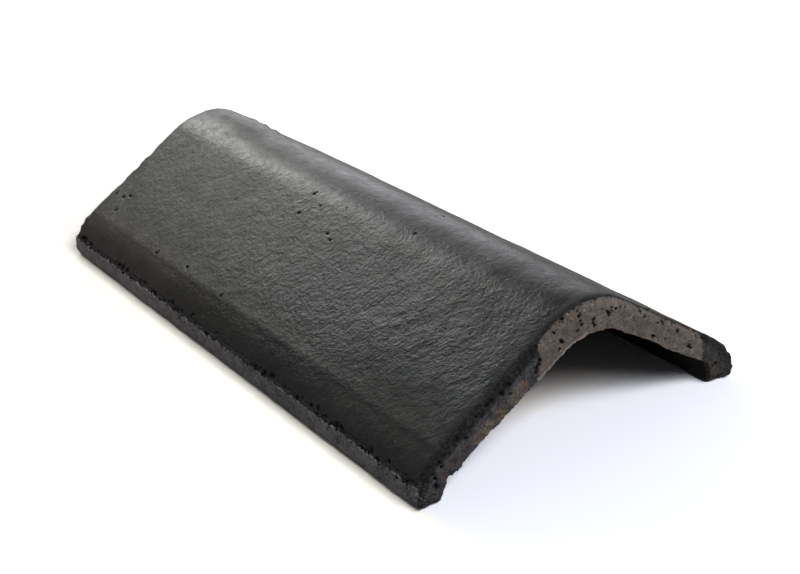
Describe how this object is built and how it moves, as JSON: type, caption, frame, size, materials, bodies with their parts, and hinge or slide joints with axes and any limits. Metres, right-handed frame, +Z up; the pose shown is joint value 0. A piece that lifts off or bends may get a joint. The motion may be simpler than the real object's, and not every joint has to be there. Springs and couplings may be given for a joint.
{
  "type": "ridge tile",
  "caption": "Concrete angle ridge tile with a rounded crown, sloping wings, rolled shoulders and a foot along each long edge, open at both ends, for capping a roof ridge.",
  "frame": {"origin": "centre of the tile's length and width, at the level that the feet stand on", "axes": "+X along the ridge, +Y across it, +Z up"},
  "size_m": [0.45, 0.243, 0.0897],
  "materials": {
    "coated_concrete": "satin dark grey coat over concrete, bare in places on the ends"
  },
  "bodies": {
    "root": {"ridge_tile": "coated_concrete"}
  },
  "joints": []
}
